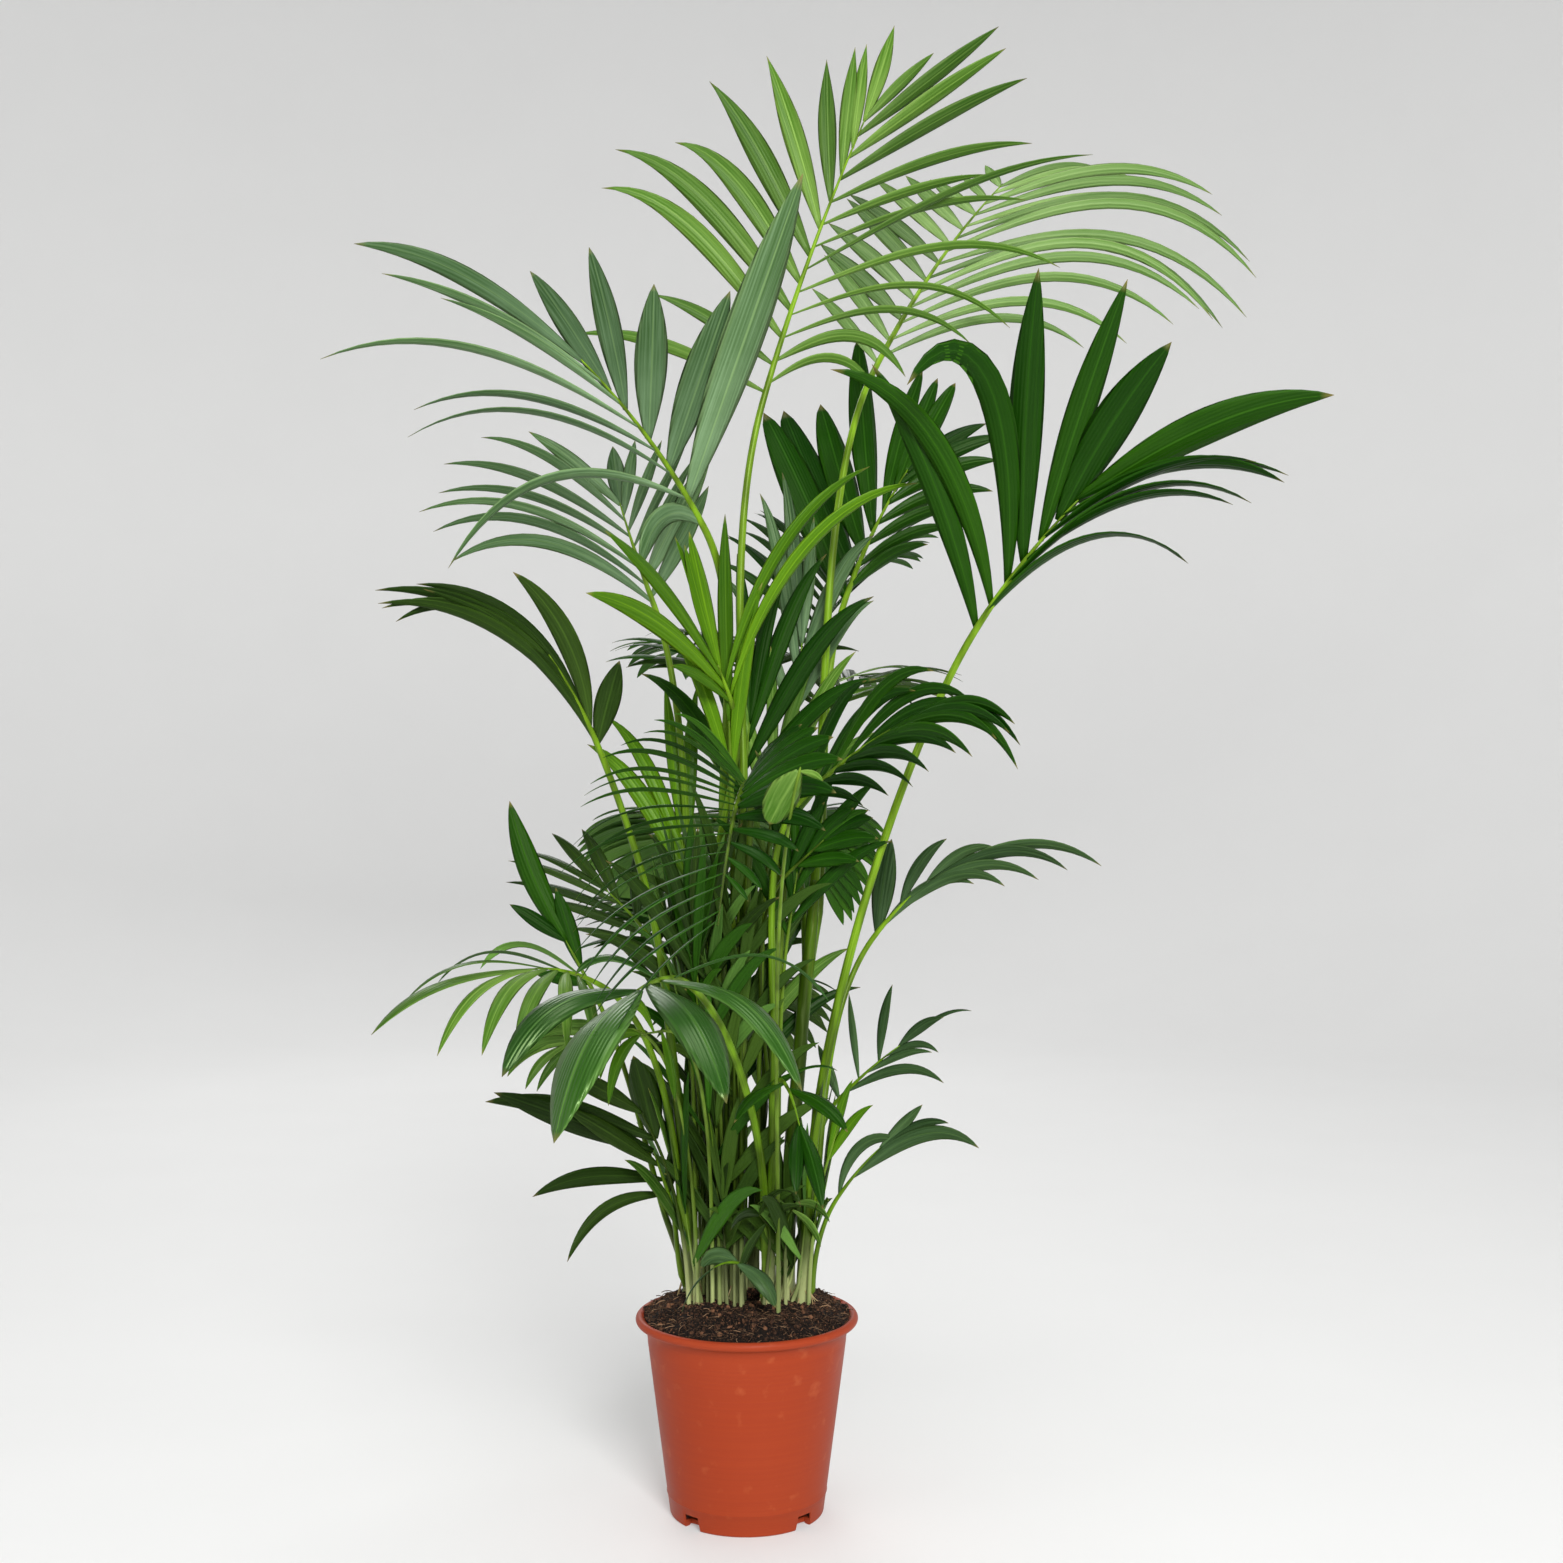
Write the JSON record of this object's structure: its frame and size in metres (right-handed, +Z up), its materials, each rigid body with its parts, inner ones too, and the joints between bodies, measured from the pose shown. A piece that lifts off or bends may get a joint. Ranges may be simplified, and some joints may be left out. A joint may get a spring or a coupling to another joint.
{
  "type": "potted palm",
  "caption": "Potted kentia palm: a clump of slim canes with long arching feather fronds, in a round tapered plant pot with a rolled rim, filled with compost.",
  "frame": {"origin": "middle of the pot's flat underside, on the surface that it stands on", "axes": "+Z up, +X to the right as seen in the picture, -Y towards the viewer"},
  "size_m": [0.9972, 0.9625, 1.614],
  "materials": {
    "pot": "terracotta-coloured moulded plastic, lightly scuffed",
    "soil": "loose dark compost with fibres and bark chips",
    "cane": "green stem in fibrous sheaths, satin",
    "stalk": "smooth green leaf stalk, satin",
    "frond": "pleated green leaflets, satin"
  },
  "bodies": {
    "root": {"pot": "pot", "soil": "soil", "cane_1": "cane", "cane_2": "cane", "cane_3": "cane", "cane_4": "cane", "cane_5": "cane", "cane_6": "cane", "cane_7": "cane", "cane_8": "cane", "cane_9": "cane", "stalk_right_fan": "stalk", "blade_right_fan": "frond", "stalk_top": "stalk", "blade_top": "frond", "stalk_top_right": "stalk", "blade_top_right": "frond", "stalk_upper_left": "stalk", "blade_upper_left": "frond", "stalk_centre_right": "stalk", "blade_centre_right": "frond", "stalk_middle_left": "stalk", "blade_middle_left": "frond", "stalk_far_left": "stalk", "blade_far_left": "frond", "stalk_bright_centre": "stalk", "blade_bright_centre": "frond", "stalk_front_drooping": "stalk", "blade_front_drooping": "frond", "stalk_front_right": "stalk", "blade_front_right": "frond", "stalk_broad_front": "stalk", "blade_broad_front": "frond", "stalk_left_arching": "stalk", "blade_left_arching": "frond", "stalk_right_low_arching": "stalk", "blade_right_low_arching": "frond", "stalk_back_left": "stalk", "blade_back_left": "frond", "stalk_back_right": "stalk", "blade_back_right": "frond", "stalk_back_high": "stalk", "blade_back_high": "frond", "stalk_back_low": "stalk", "blade_back_low": "frond", "stalk_left_behind": "stalk", "blade_left_behind": "frond", "stalk_front_low": "stalk", "blade_front_low": "frond", "frond_left_upright": "frond", "frond_left_lowest": "frond", "frond_right_low": "frond", "frond_right_lowest": "frond", "frond_seedling_leaf": "frond"}
  },
  "joints": []
}
